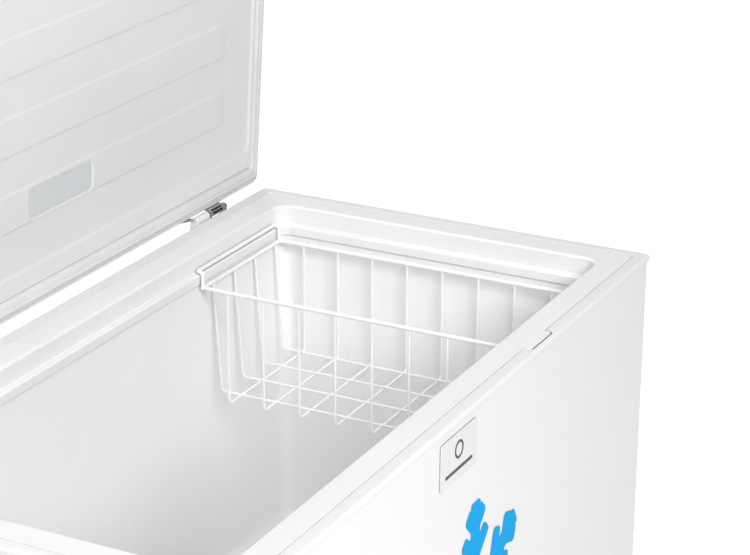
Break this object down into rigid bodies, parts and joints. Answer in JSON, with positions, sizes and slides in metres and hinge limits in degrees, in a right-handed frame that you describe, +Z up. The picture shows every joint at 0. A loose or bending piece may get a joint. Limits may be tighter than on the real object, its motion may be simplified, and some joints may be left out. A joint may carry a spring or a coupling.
{
  "type": "chest freezer",
  "caption": "Deep rectangular chest freezer on wheels with a rear-hinged lid standing open, a stepped tank and a hanging wire basket.",
  "frame": {"origin": "middle of the bounding box in X and Y with the lid open, on the floor", "axes": "+X to the right end as seen from the front, +Y to the back, where the hinges are, +Z up"},
  "size_m": [1.116, 0.6744, 1.4348],
  "materials": {
    "white_paint": "gloss",
    "liner_paint": "satin",
    "white_plastic": "satin",
    "lid_liner_plastic": "satin",
    "galvanised_steel": "satin",
    "rigid_foam": "matte",
    "black_enamel": "gloss",
    "black_plastic": "matte",
    "grey_plastic": "satin",
    "copper": "satin",
    "dark_rubber": "matte",
    "green_lens": "gloss",
    "amber_lens": "gloss",
    "badge_plate": "satin",
    "cyan_film": "satin",
    "wire_coating": "gloss",
    "gasket_vinyl": "matte",
    "lamp_lens": "satin",
    "lamp_glass": "gloss",
    "bright_steel": "satin",
    "spring_steel": "satin"
  },
  "bodies": {
    "cabinet": {"front_panel": "white_paint", "side_panel_left": "white_paint", "side_panel_right": "white_paint", "back_panel": "white_paint", "base_pan": "galvanised_steel", "cabinet_foam": "rigid_foam", "inner_liner": "liner_paint", "rim_cap": "white_paint", "rim_collar": "white_plastic", "bay_partition": "galvanised_steel", "rear_cover": "galvanised_steel", "side_vent": "white_plastic", "compressor": "black_enamel", "compressor_tray": "galvanised_steel", "starter_cover": "black_plastic", "discharge_line": "copper", "suction_line": "copper", "filter_drier": "copper", "condenser_coil": "copper", "evaporator_coil": "copper", "cord_gland": "black_plastic", "drain_pipe": "grey_plastic", "control_bezel": "grey_plastic", "power_lamp": "green_lens", "run_lamp": "amber_lens", "thermostat": "black_plastic", "name_badge": "badge_plate", "frost_decal": "cyan_film", "hinge_bracket_left": "bright_steel", "hinge_pin_left": "bright_steel", "hinge_spring_left": "spring_steel", "spring_cover_left": "white_plastic", "caster_bracket_front_left": "galvanised_steel", "caster_bracket_rear_left": "galvanised_steel", "hinge_bracket_right": "bright_steel", "hinge_pin_right": "bright_steel", "hinge_spring_right": "spring_steel", "spring_cover_right": "white_plastic", "caster_bracket_front_right": "galvanised_steel", "caster_bracket_rear_right": "galvanised_steel"},
    "lid": {"lid_shell": "white_paint", "lid_foam": "rigid_foam", "lid_liner": "lid_liner_plastic", "lid_gasket": "gasket_vinyl", "lamp_lens": "lamp_lens", "lamp_bulb": "lamp_glass", "lid_handle": "white_plastic", "lock_housing": "bright_steel", "hinge_arm_left": "bright_steel", "hinge_arm_right": "bright_steel"},
    "lock": {"lock_barrel": "bright_steel", "lock_cam": "bright_steel"},
    "basket": {"basket": "wire_coating"},
    "knob": {"thermostat_knob": "white_plastic"},
    "plug": {"drain_plug": "dark_rubber"},
    "cap": {"drain_cap": "grey_plastic"},
    "wheel_front_left": {"caster_wheel_front_left": "black_plastic"},
    "wheel_front_right": {"caster_wheel_front_right": "black_plastic"},
    "wheel_rear_left": {"caster_wheel_rear_left": "black_plastic"},
    "wheel_rear_right": {"caster_wheel_rear_right": "black_plastic"}
  },
  "joints": [
    {"name": "lid_hinge", "type": "hinge", "parent": "cabinet", "child": "lid", "pos_m": [0, 0.28617, 0.796], "axis": [1, 0, 0], "range_deg": [0, 86.6]},
    {"name": "lock_turn", "type": "hinge", "parent": "lid", "child": "lock", "pos_m": [0.204, 0.26833, 1.3999], "axis": [0, 0.0593, -0.9982], "range_deg": [0, 90]},
    {"name": "basket_slide", "type": "slide", "parent": "cabinet", "child": "basket", "axis": [1, 0, 0], "range_m": [-0.741, 0]},
    {"name": "knob_turn", "type": "hinge", "parent": "cabinet", "child": "knob", "pos_m": [0.474, -0.33173, 0.142], "axis": [0, 1, 0], "range_deg": [0, 270]},
    {"name": "plug_pull", "type": "slide", "parent": "cabinet", "child": "plug", "axis": [0, 0, 1], "range_m": [0, 0.03]},
    {"name": "cap_pull", "type": "slide", "parent": "cabinet", "child": "cap", "axis": [0, -1, 0], "range_m": [0, 0.03]},
    {"name": "roll_front_left", "type": "hinge", "parent": "cabinet", "child": "wheel_front_left", "pos_m": [-0.48, -0.25333, 0.02], "axis": [0, 1, 0], "continuous": true},
    {"name": "roll_front_right", "type": "hinge", "parent": "cabinet", "child": "wheel_front_right", "pos_m": [0.48, -0.25333, 0.02], "axis": [0, 1, 0], "continuous": true},
    {"name": "roll_rear_left", "type": "hinge", "parent": "cabinet", "child": "wheel_rear_left", "pos_m": [-0.48, 0.20667, 0.02], "axis": [0, 1, 0], "continuous": true},
    {"name": "roll_rear_right", "type": "hinge", "parent": "cabinet", "child": "wheel_rear_right", "pos_m": [0.48, 0.20667, 0.02], "axis": [0, 1, 0], "continuous": true}
  ]
}
